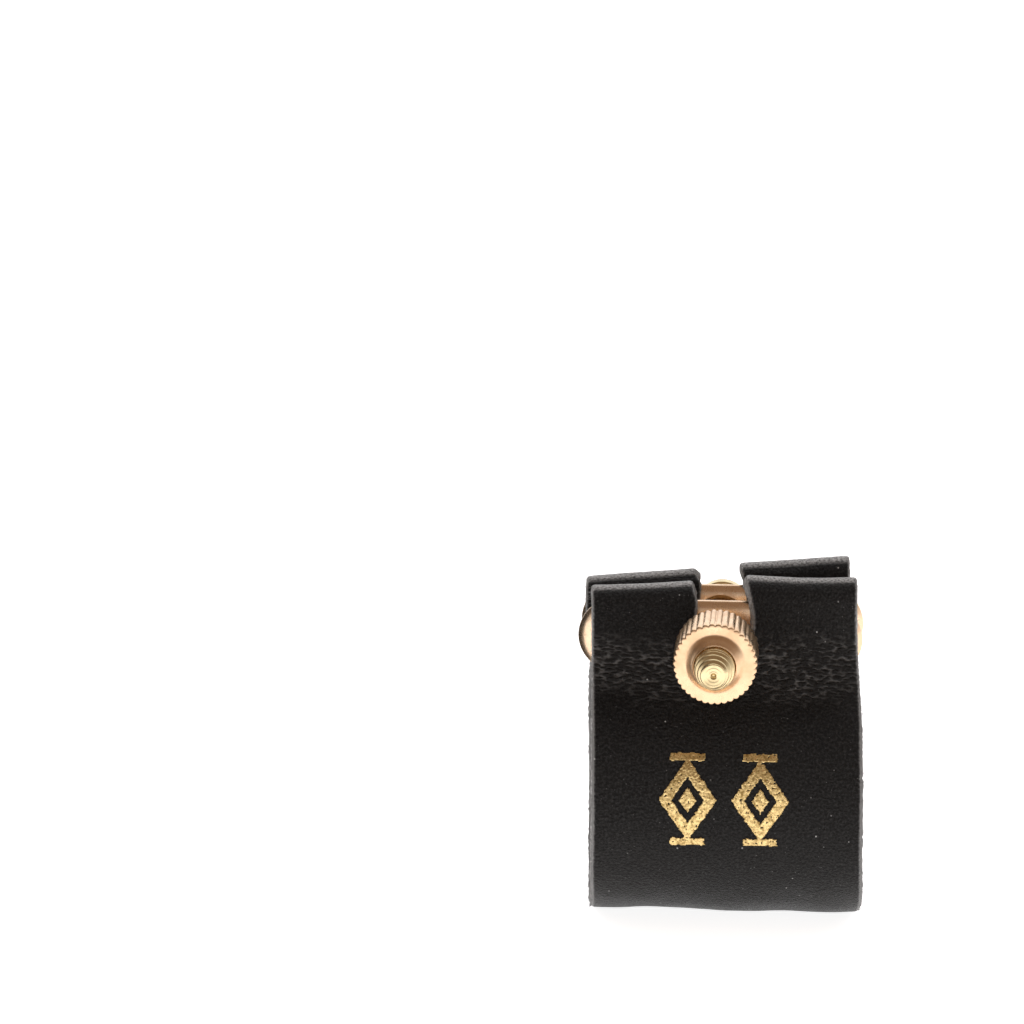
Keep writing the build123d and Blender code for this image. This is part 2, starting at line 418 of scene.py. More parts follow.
# The notch for the screw. Its rows are in the flat strip; its true edges lean, and differ front and back.
SLOT_R = 3.0
SLOT_FOOT_Z = AXIS_Z - SLOT_R
SLOT_LEFT, SLOT_RIGHT = AXIS_X - SLOT_R, AXIS_X + SLOT_R
CREST = int(np.argmax(HALF_GRAIN[:, 1]))
SLOT_IN = float(np.interp(SLOT_FOOT_Z, HALF_GRAIN[:CREST, 1], HALF_RUN[:CREST]))
SLOT_OUT = float(np.interp(-SLOT_FOOT_Z, -HALF_GRAIN[CREST:, 1], HALF_RUN[CREST:]))
SLOT_RUNS = [(SLOT_IN, SLOT_OUT), (STRIP_LENGTH - SLOT_OUT, STRIP_LENGTH - SLOT_IN)]
SLOT_EDGES = {
    "front": {"z": [17.0, 18.6, 19.8, 21.0, 22.7, 24.3], "left": [-4.1, -4.1, -3.95, -3.5, -3.45, -3.95],
              "right": [2.85, 2.8, 2.65, 2.55, 2.2, 1.8]},
    "back": {"z": [17.0, 19.0, 21.0, 23.2, 24.3], "left": [-3.6, -3.45, -3.0, -2.85, -3.55],
             "right": [2.9, 2.7, 2.45, 2.0, 1.75]},
}
EDGE_BULGE = 0.34
NECK_BULGE = 0.18
BAND_LEVELS = (0.05, 0.35, 0.65, 0.94)
FLESH_UV_SHIFT = 40.0
EDGE_UV_SHIFT = 90
EDGE_UV_SPREAD = 0.9
LEATHER_X = 0.15
SHEAR = 0.065
BEVEL = 0.35
BORDER = HALF_WIDTH - EDGE_BULGE
NEAR_EDGE = [0.0, 0.08, 0.2, 0.4]


def column_run(a, b, step):
    """Column places from a to b, closer together beside both."""
    inner = np.linspace(a + NEAR_EDGE[-1], b - NEAR_EDGE[-1], int((b - a - 2 * NEAR_EDGE[-1]) / step) + 1)
    return np.concatenate([[a + n for n in NEAR_EDGE[:-1]], inner, [b - n for n in NEAR_EDGE[-2::-1]]])


def columns(step=0.42):
    """Column places across the strip, closer together beside each cut edge."""
    middle = np.linspace(SLOT_LEFT, SLOT_RIGHT, 15)
    left, right = column_run(-BORDER, SLOT_LEFT, step), column_run(SLOT_RIGHT, BORDER, step)
    return np.concatenate([left, middle[1:-1], right])


def rows(step=0.36, fine_step=0.17):
    """Row places along the strip, with one at each end of each notch and closer together at the neck."""
    neck_start = float(np.interp(-NECK_Z - 1.0, -HALF_GRAIN[CREST:, 1], HALF_RUN[CREST:]))
    neck_end = neck_start + 1.0 + NECK_R * RING_START
    stops = [(0, step), (SLOT_IN, step), (neck_start, fine_step), (SLOT_OUT, fine_step), (neck_end, step)]
    ends = [start for start, _ in stops[1:]] + [HALF_LENGTH]
    half = np.concatenate([
        np.linspace(a, b, max(2, int((b - a) / gap) + 1))[:-1] for (a, gap), b in zip(stops, ends)
    ])
    return np.concatenate([half, [HALF_LENGTH], STRIP_LENGTH - half[::-1]])


def round_notch(u, run, end, inward):
    """Rounds the square end of a notch: moves (u, run) from square rings to round ones near that end."""
    centre = end + inward * SLOT_R
    across, along = (u - AXIS_X) / SLOT_R, (centre - run) * inward / SLOT_R
    ring = np.maximum(np.abs(across), along)
    length = np.hypot(across, along)
    pull = np.where((along > 0) & (ring >= 0.999), smooth(1.9, 1.0, ring), 0.0)
    factor = 1 + pull * (ring / np.maximum(length, 1e-6) - 1)
    return AXIS_X + across * factor * SLOT_R, centre - along * factor * SLOT_R * inward


def lean(u, y, z):
    """Moves the columns so that the notch's edges lean as the real cut does."""
    out = u.copy()
    for side, edges in SLOT_EDGES.items():
        here = (y < 0) == (side == "front")
        left = np.interp(z, edges["z"], edges["left"]) - SLOT_LEFT
        right = np.interp(z, edges["z"], edges["right"]) - SLOT_RIGHT
        fade = smooth(13.0, 15.5, z)
        near_left = np.where(u < SLOT_LEFT, smooth(-BORDER, SLOT_LEFT, u), smooth(SLOT_RIGHT, SLOT_LEFT, u))
        near_right = smooth(SLOT_LEFT, SLOT_RIGHT, u)
        near_right = np.where(u > SLOT_RIGHT, smooth(BORDER, SLOT_RIGHT, u), near_right)
        out = np.where(here, u + fade * (left * near_left + right * near_right), out)
    return out


def fold_lift(u, y):
    """How far each fold stands above or below its nominal height: the ends weren't folded quite square."""
    front = np.interp(u, [-15.5, -3.5, 2.5, 8.0, 15.5], [-1.0, -0.2, 0.5, 0.36, 0.52])
    back = np.interp(u, [-15.0, -4.0, 2.0, 15.0], [-1.9, -0.75, 0.05, 0.97])
    return np.where(y < 0, front, back)


def trim(u, y, z):
    """How far the ends' outer edges stand off the strip's own line: the blank wasn't cut quite square."""
    high_up = smooth(10.0, 22.0, z)
    right, left = smooth(4.0, 15.0, u), smooth(-4.0, -15.0, u)
    shift = np.where(y < 0, -0.4 * high_up * right, -0.85 * high_up * right - 0.12 * high_up * left)
    flare = -0.5 * left * (y > 0) * smooth(15.0, 19.0, z) * smooth(TOP_Z - 0.3, 21.5, z)
    return shift + flare + right * (0.25 * smooth(0.0, -12.0, z) - 0.2) - 0.08 * left


def strip_normal(run):
    """Unit vector in the Y-Z plane, at a right angle to the grain line."""
    ahead = np.stack(on_strip(np.minimum(run + 0.05, STRIP_LENGTH), HALF_GRAIN))
    behind = np.stack(on_strip(np.maximum(run - 0.05, 0), HALF_GRAIN))
    tangent = ahead - behind
    tangent /= np.maximum(np.linalg.norm(tangent, axis=0), 1e-9)
    return -tangent[1], tangent[0]


def shape_strap(u, run, which):
    """Places strip coordinates in space. Returns points, and how creased each one is."""
    y, z = on_strip(run, HALF_GRAIN if which == "grain" else HALF_FLESH)
    outer = np.abs(y) > FLESH_OUT_Y - 0.3
    crease = outer * smooth(10.5, 14.5, z) * smooth(NECK_Z + 2.4, NECK_Z - 1.2, z)
    crease = crease * (0.8 + 0.9 * wave_noise(u * 0.16, run * 0.3, 3.0))
    swell = 0.12 * wave_noise(u * 0.11, run * 0.13, 7.0) + 0.04 * wave_noise(u * 0.4, run * 0.33, 1.0)
    ridges = crease * 0.05 * (wave_noise(u * 0.3, run * 1.3, 5.0) + wave_noise(u * 0.6, run * 2.4, 15.0))
    beyond_mouth = np.abs(y) > MOUTH_HALF + 0.6
    sag = 0.5 * wave_noise(u * 0.13 + 3.0, 0.4, 12.0) * smooth(-5.0, -12.5, z)
    push = (swell + ridges) * beyond_mouth * (1.0 if which == "grain" else 0.6) + sag
    normal_y, normal_z = strip_normal(run)
    y, z = y + normal_y * push, z + normal_z * push
    z = z + fold_lift(u, y) * smooth(16.0, TOP_Z, z)
    waver = 0.12 * wave_noise(run * 0.11, 4.0, u * 0.02) * smooth(8.0, 15.0, np.abs(u))
    x = u + LEATHER_X - SHEAR * y + trim(u, y, z) + waver
    return np.stack([x, y, np.maximum(z, strap_low.z)], -1), np.clip(crease + 0.03, 0, 1)


CELL_SIDES = {(-1, 0): ((0, 0), (0, 1)), (1, 0): ((1, 1), (1, 0)), (0, -1): ((1, 0), (0, 0)),
              (0, 1): ((0, 1), (1, 1))}


def skin_faces(solid, count, first=0):
    """Faces over a grid's solid cells, on an upper skin and on a lower one numbered count further on."""
    across = solid.shape[1] + 1
    for r, c in zip(*np.nonzero(solid)):
        a = first + r * across + c
        b, d, e = a + 1, a + across + 1, a + across
        yield (a, b, d, e)
        yield (a + count, e + count, d + count, b + count)


def cut_edges(solid):
    """Each edge between a solid cell and an empty one: its two grid corners, and the step outwards."""
    padded = np.pad(solid, 1)
    for r, c in zip(*np.nonzero(solid)):
        for (dr, dc), corners in CELL_SIDES.items():
            if not padded[r + 1 + dr, c + 1 + dc]:
                yield [(r + i, c + j) for i, j in corners], (dr, dc)


def drop_unused(faces):
    """Faces renumbered over only the points that they use, and the old numbers of those points."""
    used = sorted({v for face in faces for v in face})
    order = {v: n for n, v in enumerate(used)}
    return [tuple(order[v] for v in face) for face in faces], used


def strip_grid():
    """Places across and along the strip, the cells that hold leather, and each point's distance to a cut."""
    across, along = columns(), rows()
    u, run = np.meshgrid(across, along)
    mid_u, mid_run = (across[1:] + across[:-1]) / 2, (along[1:] + along[:-1]) / 2
    in_slot = (mid_u > SLOT_LEFT) & (mid_u < SLOT_RIGHT)
    solid = np.ones((len(mid_run), len(mid_u)), bool)
    to_cut = np.minimum(BORDER - np.abs(u), np.minimum(run, STRIP_LENGTH - run))
    for start, end in SLOT_RUNS:
        in_run = (mid_run > start) & (mid_run < end)
        solid &= ~(in_run[:, None] & in_slot[None, :])
        beyond_u = np.maximum(np.maximum(SLOT_LEFT - u, u - SLOT_RIGHT), 0)
        beyond_run = np.maximum(np.maximum(start - run, run - end), 0)
        to_cut = np.minimum(to_cut, np.maximum(beyond_u, beyond_run))
    for start, end in SLOT_RUNS:
        for stop, inward in ((start, 1), (end, -1)):
            near = np.abs(run - (stop + inward * SLOT_R)) < 2.2 * SLOT_R
            moved_u, moved_run = round_notch(u, run, stop, inward)
            u, run = np.where(near, moved_u, u), np.where(near, moved_run, run)
    return u, np.clip(run, 0, STRIP_LENGTH), solid, to_cut


def strap_skins(u, run, to_cut):
    """Grain and flesh points, the leaning column places, how creased each point is, and a mask of wear at
    the cut edges plus a painted highlight on the fold tops.
    """
    y, z = on_strip(run, HALF_GRAIN)
    leaning = lean(u, y, z)
    front_right = (y < 0) & (u >= SLOT_RIGHT - 0.01)
    bevel = BEVEL * front_right * smooth(SLOT_RIGHT + 2.5, SLOT_RIGHT, u) * smooth(18.0, 20.0, z)
    grain, crease = shape_strap(leaning + bevel, run, "grain")
    flesh, _ = shape_strap(leaning, run, "flesh")
    inward = flesh - grain
    inward /= np.maximum(np.linalg.norm(inward, axis=-1, keepdims=True), 1e-6)
    eased = 0.05 * np.clip(1 - to_cut / 0.25, 0, 1)[..., None] ** 2
    # Painted highlight: the top of each fold is made paler to stand in for the bright backdrop it reflects;
    # the share near the cut edges below is real wear.
    crest_highlight = smooth(FOLD_Z + FOLD_R - 0.36, FOLD_Z + FOLD_R - 0.05, z)
    wear = np.clip(crest_highlight + 0.6 * np.clip(1 - to_cut / 0.22, 0, 1) ** 2, 0, 1)
    return grain + inward * eased, flesh, leaning, crease, wear


def ways_out(grain, edges):
    """Unit vector out of the leather at each border point, away from the points further in."""
    last = np.array(grain.shape[:2]) - 1
    total = {}
    for corners, step in edges:
        for corner in corners:
            inside = np.clip(np.subtract(corner, np.multiply(step, 2)), 0, last)
            out = grain[corner] - grain[tuple(inside)]
            total[corner] = total.get(corner, 0) + out / max(np.linalg.norm(out), 1e-9)
    return {corner: out / max(np.linalg.norm(out), 1e-9) for corner, out in total.items()}


def band_points(top, bottom, outward, u, run):
    """Points of the rough cut edge between the grain and the flesh side, bulging outwards."""
    bulge = NECK_BULGE + (EDGE_BULGE - NECK_BULGE) * float(smooth(14.0, 9.0, top[2]))
    for level in BAND_LEVELS:
        rough = noise.noise(Vector((run * 2.6, u * 2.6, level * 3 + 9)))
        reach = bulge * (0.55 + 0.45 * math.sin(math.pi * level) + 0.7 * rough)
        yield top + (bottom - top) * level + outward * reach


def leather_strap():
    """The strip as one closed skin: grain side, flesh side, and rough edges all round and in the notches."""
    u, run, solid, to_cut = strip_grid()
    grain, flesh, leaning, crease, wear = strap_skins(u, run, to_cut)
    edges = list(cut_edges(solid))
    place = np.stack([leaning, run], -1).reshape(-1, 2)
    points = [*grain.reshape(-1, 3), *flesh.reshape(-1, 3)]
    uv = [*place, *(place + FLESH_UV_SHIFT)]
    faces = list(skin_faces(solid, u.size))
    face_material = [0, 1] * (len(faces) // 2)
    bands = {}
    for (r, c), outward in ways_out(grain, edges).items():
        v, first = r * u.shape[1] + c, len(points)
        points += band_points(grain[r, c], flesh[r, c], outward, u[r, c], run[r, c])
        for spread in (level * EDGE_UV_SPREAD for level in BAND_LEVELS):
            uv.append((leaning[r, c] + EDGE_UV_SHIFT + spread, run[r, c] + spread))
        bands[r, c] = [v, *range(first, len(points)), v + u.size]
    for (p, q), _ in edges:
        one, two = bands[p], bands[q]
        faces += [(one[k], one[k + 1], two[k + 1], two[k]) for k in range(len(one) - 1)]
    face_material += [2] * (len(faces) - len(face_material))
    band_zeros = np.zeros(len(points) - 2 * u.size)
    faces, used = drop_unused(faces)
    piece = new_piece("strap_leather", np.array(points)[used], faces, [LEATHER_SKIN, SUEDE, RAW_EDGE],
                      face_material, np.array(uv)[used])
    # The wear attribute carries real wear at the cut edges and the painted highlight on the fold tops.
    for label, values in (("bend", crease), ("wear", wear)):
        whole = np.concatenate([values.ravel(), values.ravel(), band_zeros])
        stored = piece.data.attributes.new(label, "FLOAT", "POINT")
        stored.data.foreach_set("value", whole[used].astype(np.float32))
    return piece


# ---------------------------------------------------------------- plates, screw and nut

def loft(name, loops, material, closed=False):
    """Skin over loops of equal length; closed joins the last loop to the first."""
    loops = np.asarray(loops)
    count, around = loops.shape[:2]
    faces = []
    for i in range(count if closed else count - 1):
        j = (i + 1) % count
        for k in range(around):
            m = (k + 1) % around
            faces.append((i * around + k, j * around + k, j * around + m, i * around + m))
    if not closed:
        faces.append(tuple(range(around)))
        faces.append(tuple(range((count - 1) * around, count * around))[::-1])
    return new_piece(name, loops.reshape(-1, 3), faces, [material])


def stadium(half_length, radius, inset, around):
    """Points round a plate's outline, moved inwards by inset, from the +X tip."""
    straight = half_length - radius
    r = radius - inset
    total = 4 * straight + 2 * math.pi * r
    out = []
    for k in range(around):
        s = total * k / around
        quarter = math.pi * r / 2
        if s < quarter:
            a = s / r
            out.append((straight + r * math.cos(a), r * math.sin(a)))
        elif s < quarter + 2 * straight:
            out.append((straight - (s - quarter), r))
        elif s < 3 * quarter + 2 * straight:
            a = math.pi / 2 + (s - quarter - 2 * straight) / r
            out.append((-straight + r * math.cos(a), r * math.sin(a)))
        elif s < 3 * quarter + 4 * straight:
            out.append((-straight + (s - 3 * quarter - 2 * straight), -r))
        else:
            a = 1.5 * math.pi + (s - 3 * quarter - 4 * straight) / r
            out.append((straight + r * math.cos(a), r * math.sin(a)))
    return np.array(out)


CROWN_WIDTH = 3.2
CROWN_POWER = 2.1
HOLE_R = 2.35
HOLE_EASE = 0.45
HOLE_EASE_OUTSIDE = 0.06
PLATE_AROUND = 256
PLATE_RINGS = (0.1, 0.25, 0.4, 0.55, 0.68, 0.76, 0.82, 0.88, 0.93, 0.97)
PLATE_INSETS = (0.7, 0.5, 0.34, 0.21, 0.12, 0.05, 0.012)


def plate(name, node, mouth_side):
    """Crowned plate with round edges and a hole eased towards the mouth, in place of a CAD node."""
    low, high = node_box(node)
    middle = (low + high) / 2
    half_length, half_thick, radius = (high - low) / 2
    hole_x, hole_z = AXIS_X - middle.x, AXIS_Z - middle.z
    angles = np.arange(PLATE_AROUND) * 2 * math.pi / PLATE_AROUND

    def on_face(x, z, side, sink=0.0):
        """Points on one face, which falls away towards the outline, or sunk below it."""
        inset = radius - np.hypot(np.maximum(np.abs(x) - half_length + radius, 0), z)
        fall = 1 - np.clip(inset / CROWN_WIDTH, 0, 1)
        height = half_thick * (1 - fall**CROWN_POWER) ** (1 / CROWN_POWER)
        return np.stack([x, side * (height - sink), z], -1)

    def hole(r, side, sink):
        """Circle round the hole on one face, or sunk below it."""
        return on_face(hole_x + r * np.cos(angles), hole_z + r * np.sin(angles), side, sink)

    loops = []
    for side in (-1, 1):
        ease = HOLE_EASE if side == mouth_side else HOLE_EASE_OUTSIDE
        rim = HOLE_R + ease
        face = [hole(HOLE_R, side, ease), hole(HOLE_R + ease * 0.5, side, ease * 0.4), hole(rim, side, 0.0),
                hole(rim + 0.08, side, 0.0)]
        inner, outer = face[-1], stadium(half_length, radius, PLATE_INSETS[0], PLATE_AROUND)
        for t in PLATE_RINGS:
            x, z = inner[:, 0] * (1 - t) + outer[:, 0] * t, inner[:, 2] * (1 - t) + outer[:, 1] * t
            face.append(on_face(x, z, side))
        for inset in PLATE_INSETS:
            outline = stadium(half_length, radius, inset, PLATE_AROUND)
            face.append(on_face(outline[:, 0], outline[:, 1], side))
        loops += face if side == -1 else face[::-1]
    points = np.array(loops) + np.array(middle)
    away = np.hypot(points[..., 0] - AXIS_X, points[..., 2] - AXIS_Z) > HOLE_R + 0.6
    points[..., 1] += 0.03 * away * wave_noise(points[..., 0] * 0.35, points[..., 2] * 0.35, middle.y)
    return loft(name, points, GILT, closed=True)


def around_axis(radii, places, around, twist=0.0):
    """Loops about the closure axis from radii (loops, around) or (loops,) at y places."""
    angle = np.arange(around) * 2 * math.pi / around + twist
    radii = np.broadcast_to(np.asarray(radii, float).reshape(len(places), -1), (len(places), around))
    y = np.broadcast_to(np.asarray(places, float).reshape(-1, 1), radii.shape)
    return np.stack([AXIS_X + radii * np.cos(angle), y, AXIS_Z + radii * np.sin(angle)], -1)


STUD_R = 2.2
TIP_R = 1.32
TIP_TAPER = 1.9
THREAD_DEPTH = 0.36
THREAD_END_Y = -2.3
DIMPLE_R = 0.42
SCREW_NECK_R = 2.6
HEAD_R = 3.0
HEAD_HEIGHT = 1.8
HEAD_DOME = 0.5
SCREW_AROUND = 72


def rings(stations, around):
    """One loop about the closure axis for each (radius or radii, y) station."""
    return [around_axis(r, [y], around)[0] for r, y in stations]


def screw_tip():
    """Turned end face, from its centre mark out to its rim."""
    radii = np.linspace(0.02, TIP_R - 0.05, 40)
    dimple = 0.3 * smooth(DIMPLE_R, 0.05, radii)
    tooling = 0.035 * (0.5 - 0.5 * np.cos(2 * math.pi * (radii - DIMPLE_R) / 0.38)) * (radii > DIMPLE_R)
    stations = [(r, screw_low.y + d + t) for r, d, t in zip(radii, dimple, tooling)]
    return rings(stations + [(TIP_R, screw_low.y + 0.05)], SCREW_AROUND)


def screw_thread():
    """True helical thread, shallower on the coned tip."""
    angle = np.arange(SCREW_AROUND) * 2 * math.pi / SCREW_AROUND
    places = np.arange(screw_low.y + 0.11, THREAD_END_Y, PITCH / 9)
    phase = (places[:, None] - PITCH * angle[None, :] / (2 * math.pi)) / PITCH
    tooth = smooth(0.06, 0.86, 0.5 + 0.5 * np.cos(2 * math.pi * phase))
    along = np.clip((places - screw_low.y) / TIP_TAPER, 0, 1)
    taper = TIP_R + (STUD_R - TIP_R) * along**0.8
    depth = THREAD_DEPTH * (0.45 + 0.55 * along)
    radii = np.maximum(taper[:, None] - depth[:, None] * (1 - tooth), TIP_R - 0.02)
    return list(around_axis(radii, places, SCREW_AROUND))


def screw_head():
    """Plain shank, neck behind the back plate, and round domed head."""
    start, rim = screw_high.y - HEAD_HEIGHT, screw_high.y - HEAD_DOME
    bearing = node_box("back_plate")[1].y
    stations = [(STUD_R, -2.0), (STUD_R, bearing - 0.02), (SCREW_NECK_R - 0.1, bearing)]
    stations += [(SCREW_NECK_R, bearing + 0.1), (SCREW_NECK_R, start - 0.1), (SCREW_NECK_R + 0.05, start)]
    stations += [(HEAD_R - 0.18, start), (HEAD_R - 0.05, start + 0.06), (HEAD_R, start + 0.2)]
    stations += [(HEAD_R, rim - 0.18), (HEAD_R - 0.06, rim - 0.04), (HEAD_R - 0.2, rim + 0.05)]
    stations += [(r, screw_high.y - 0.45 * (r / 2.8) ** 2) for r in (2.5, 2.0, 1.5, 1.0, 0.5, 0.05)]
    return rings(stations, SCREW_AROUND)


def clamp_screw():
    """Stud with a true helical thread, a turned end face and a domed head."""
    return loft("screw_brass", screw_tip() + screw_thread() + screw_head(), SCREW_BRASS)


FLUTES = 38
POINTS_PER_FLUTE = 10
FLUTE_DEPTH = 0.21
NUT_R = 4.6
NUT_BORE_R = 2.27
BOSS_R = 3.4
COLLAR_R = 2.7
NUT_FRONT_Y = -14.9
NUT_BACK_Y = -9.0


def flute_radii(inset, share):
    """Radii round the nut's fluted side, drawn in by inset; share is how deep the flutes are here."""
    turn = np.arange(FLUTES * POINTS_PER_FLUTE) * 2 * math.pi / POINTS_PER_FLUTE
    groove = FLUTE_DEPTH * (1 - np.abs(np.cos(turn / 2)) ** 0.7)
    uneven = 0.02 * wave_noise(np.cos(turn / FLUTES) * 3, np.sin(turn / FLUTES) * 3, 2.0)
    return NUT_R - inset - groove * share + uneven * share


def nut_boss():
    """Stations from inside the bore over the coned boss to the flat front."""
    top, bore = nut_low.y, NUT_BORE_R
    stations = [(bore, nut_high.y - 0.5), (bore, top + 0.12), (bore + 0.07, top), (bore + 0.1, top + 0.005)]
    for t in np.linspace(0, 1, 9):
        r = bore + 0.12 + (BOSS_R - bore - 0.12) * t
        fall = smooth(-0.25, 1.05, t) / smooth(-0.25, 1.05, 1.0)
        stations.append((r, top + (NUT_FRONT_Y - top) * fall))
    return stations + [(r, NUT_FRONT_Y) for r in (BOSS_R + 0.15, 3.8, 4.1)]


def nut_side():
    """Stations over the fluted side, with its two eased corners."""
    front, back = NUT_FRONT_Y, NUT_BACK_Y
    corner = [(0.2, 0.9, 0.0), (0.1, 1.0, 0.05), (0.03, 1.0, 0.14)]
    stations = [(flute_radii(inset, share), front + depth) for inset, share, depth in corner]
    full = flute_radii(0.0, 1.0)
    stations += [(full, y) for y in (front + 0.28, front + 1.5, front + 3, back - 1.5, back - 0.28)]
    return stations + [(flute_radii(inset, share), back - depth) for inset, share, depth in corner[::-1]]


def nut_collar():
    """Stations over the flat back and the collar, to the bore's other end."""
    back, bearing, bore = NUT_BACK_Y, nut_high.y, NUT_BORE_R
    stations = [(4.0, back), (COLLAR_R + 0.12, back), (COLLAR_R + 0.03, back + 0.03)]
    stations += [(COLLAR_R, back + 0.12), (COLLAR_R, bearing - 0.12), (COLLAR_R - 0.1, bearing)]
    return stations + [(bore + 0.08, bearing), (bore, bearing - 0.08)]


def thumb_nut():
    """Fluted nut with a coned boss round the stud, a flat rim and a collar."""
    stations = nut_boss() + nut_side() + nut_collar()
    return loft("nut_brass", rings(stations, FLUTES * POINTS_PER_FLUTE), NUT_GILT, closed=True)


# ---------------------------------------------------------------- foil and fibres

def strap_surface(u, run):
    """Point on the grain side and its outward direction, for things that lie on the leather."""
    here, _ = shape_strap(u, run, "grain")
    beside, _ = shape_strap(u + 0.05, run, "grain")
    ahead, _ = shape_strap(u, run + 0.05, "grain")
    normal = np.cross(beside - here, ahead - here)
    normal /= np.maximum(np.linalg.norm(normal, axis=-1, keepdims=True), 1e-12)
    outwards = np.sign((normal[..., 1:] * here[..., 1:]).sum(-1, keepdims=True))
    return here, normal * outwards


def ornament(x, y):
    """Inside test for one stamped mark: a tall lozenge ring, a solid lozenge in it, and end bars."""
    size = np.abs(x) / 3.15 + np.abs(y) / 4.6
    ring = (size < 1.0) & (size > 0.56)
    core = size < 0.3
    bars = (np.abs(x) < 1.9) & (np.abs(np.abs(y) - 4.75) < 0.42)
    return ring | core | bars


def without_corner_touches(cells):
    """Fills cells until none meets another at a corner only."""
    cells = cells.copy()
    while True:
        a, b, c, d = cells[:-1, :-1], cells[:-1, 1:], cells[1:, :-1], cells[1:, 1:]
        touch = (a & d & ~b & ~c) | (b & c & ~a & ~d)
        if not touch.any():
            return cells
        cells[:-1, :-1] |= touch
        cells[:-1, 1:] |= touch


FOIL_CELL = 0.1
FOIL_WIDE = 3.6
FOIL_TALL = 5.6
FOIL_CENTRES_U = (-4.5, 3.45)
FOIL_RISE = math.radians(9.0)
FOIL_PROUD = 0.045
FOIL_SUNK = 0.03


def stamped_cells(x, y, mark):
    """Which cells of one mark hold foil: its outline is ragged, and pinholes are worn through it."""
    ragged_x = x + 0.14 * wave_noise(x * 2.4, y * 2.4, 11.0 + mark)
    ragged_y = y + 0.14 * wave_noise(x * 2.4, y * 2.4, 31.0 + mark)
    worn = wave_noise(x * 3.6, y * 3.6, 51.0 + mark) + 0.5 * wave_noise(x * 8, y * 8, 61.0 + mark)
    inside = ornament(ragged_x, ragged_y) & (worn > -0.5)
    return without_corner_touches(inside[:-1, :-1])


def foil_marks():
    """Two lozenges of gold foil stamped on the front, a little above the height of the ring's axis."""
    wide, tall = int(FOIL_WIDE / FOIL_CELL), int(FOIL_TALL / FOIL_CELL)
    columns_on, rows_on = np.meshgrid(np.arange(-wide, wide + 1), np.arange(-tall, tall + 1))
    x, y = columns_on * FOIL_CELL, rows_on * FOIL_CELL
    middle = HALF_LENGTH + (math.pi / 2 + FOIL_RISE) * RING_R
    points, faces = [], []
    for mark, centre_u in enumerate(FOIL_CENTRES_U):
        cells = stamped_cells(x, y, mark)
        here, normal = strap_surface(centre_u + x, middle + y)
        first = len(points)
        points += [*(here + normal * FOIL_PROUD).reshape(-1, 3), *(here - normal * FOIL_SUNK).reshape(-1, 3)]
        faces += skin_faces(cells, x.size, first)
        for corners, _ in cut_edges(cells):
            p, q = (first + r * x.shape[1] + c for r, c in corners)
            faces.append((q, p, p + x.size, q + x.size))
    faces, used = drop_unused(faces)
    return new_piece("foil_marks", np.array(points)[used], faces, [FOIL])


FIBRE_COUNT = 2200
FIBRE_R = 0.03
FIBRE_RINGS = 4


def one_fibre(root, heading, curl, first):
    """Points and faces of one tapering, curling three-sided fibre whose points are numbered from first."""
    across = np.cross(heading, [0.3, 0.5, 0.8])
    across /= np.linalg.norm(across)
    other = np.cross(heading, across) / np.linalg.norm(heading)
    points, faces = [], []
    for k in range(FIBRE_RINGS):
        t = k / (FIBRE_RINGS - 1)
        middle = root + heading * t + curl * t * t
        thick = FIBRE_R * (1 - 0.7 * t)
        for c in range(3):
            a = 2 * math.pi * c / 3
            points.append(middle + thick * (math.cos(a) * across + math.sin(a) * other))
    for k in range(FIBRE_RINGS - 1):
        for c in range(3):
            a, b = first + 3 * k + c, first + 3 * k + (c + 1) % 3
            faces.append((a, b, b + 3, a + 3))
    tip = first + 3 * (FIBRE_RINGS - 1)
    return points, faces + [(first, first + 2, first + 1), (tip, tip + 1, tip + 2)]


def edge_fibres():
    """Short fibres that stand off the strap's two cut edges, more of them round the ring."""
    draw = np.random.RandomState(11)
    run = draw.uniform(0.0, STRIP_LENGTH, FIBRE_COUNT)
    side = np.where(draw.uniform(size=FIBRE_COUNT) < 0.5, -1.0, 1.0)
    inward = draw.uniform(0.05, 0.95, FIBRE_COUNT)
    length = 0.12 + 0.42 * draw.uniform(size=FIBRE_COUNT) ** 2.5
    swing = draw.normal(0.0, 0.7, (FIBRE_COUNT, 3))
    grain, _ = shape_strap(side * BORDER, run, "grain")
    flesh, _ = shape_strap(side * BORDER, run, "flesh")
    root = grain + (flesh - grain) * inward[:, None]
    root[:, 0] += side * (NECK_BULGE * 0.4 + (EDGE_BULGE - NECK_BULGE) * 0.6 * smooth(14.0, 9.0, root[:, 2]))
    folded = (root[:, 2] > 13.0) & (np.abs(root[:, 1]) < WALL_Y + 0.3)
    keep = (root[:, 2] > strap_low.z + 0.2) & ~(folded & (draw.uniform(size=FIBRE_COUNT) < 0.6))
    points, faces = [], []
    for n in np.nonzero(keep)[0]:
        heading = np.array([side[n], 0.0, 0.0]) + swing[n] * [0.15, 0.6, 0.6]
        heading /= np.linalg.norm(heading)
        curl = swing[n][::-1] * 0.35
        fibre = one_fibre(root[n], heading * length[n], curl * length[n], len(points))
        points += fibre[0]
        faces += fibre[1]
    points = np.array(points)
    points[:, 2] = np.maximum(points[:, 2], strap_low.z)
    return new_piece("edge_fibres", points, faces, [RAW_EDGE], uv=points[:, :2] * 3)


# ---------------------------------------------------------------- stage

def area_light(name, place, target, size, power, colour=(1, 1, 1)):
    """Rectangular soft light at place, in metres, aimed at target."""
    data = bpy.data.lights.new(name, "AREA")
    data.shape = "RECTANGLE"
    data.size, data.size_y = size
    data.energy = power
    data.color = colour
    lamp = bpy.data.objects.new(name, data)
    lamp.location = place
    lamp.rotation_euler = (Vector(target) - Vector(place)).to_track_quat("-Z", "Y").to_euler()
    bpy.context.collection.objects.link(lamp)
    return lamp


